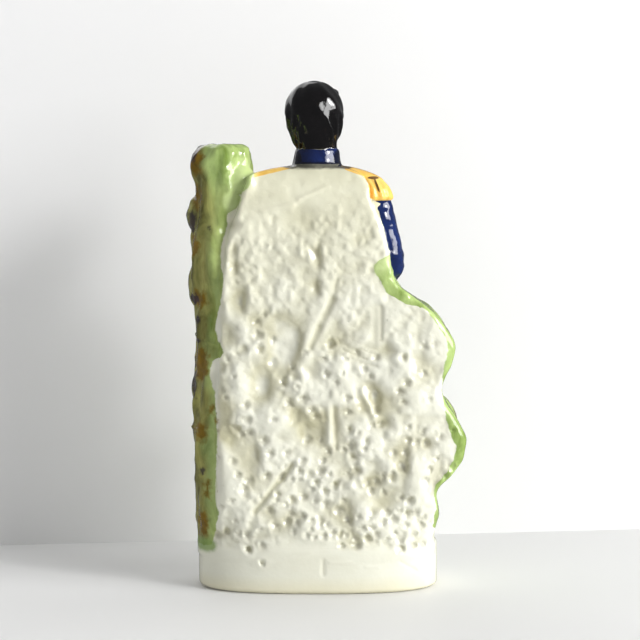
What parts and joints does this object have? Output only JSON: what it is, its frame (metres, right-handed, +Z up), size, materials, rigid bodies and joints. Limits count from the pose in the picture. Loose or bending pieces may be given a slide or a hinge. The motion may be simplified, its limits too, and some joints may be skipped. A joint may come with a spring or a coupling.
{
  "type": "staffordshire figure",
  "caption": "Moulded earthenware flatback figure of a standing officer between a tree stump and a lobed rocky bank, on a plain rounded base.",
  "frame": {"origin": "middle of the base's underside", "axes": "+Z up the figure, +Y out of the flat back, -Y the way the officer faces, +X towards the tree stump"},
  "size_m": [0.165, 0.07, 0.3],
  "materials": {
    "glazed_earthenware": "glossy"
  },
  "bodies": {
    "root": {"figure": "glazed_earthenware"}
  },
  "joints": []
}
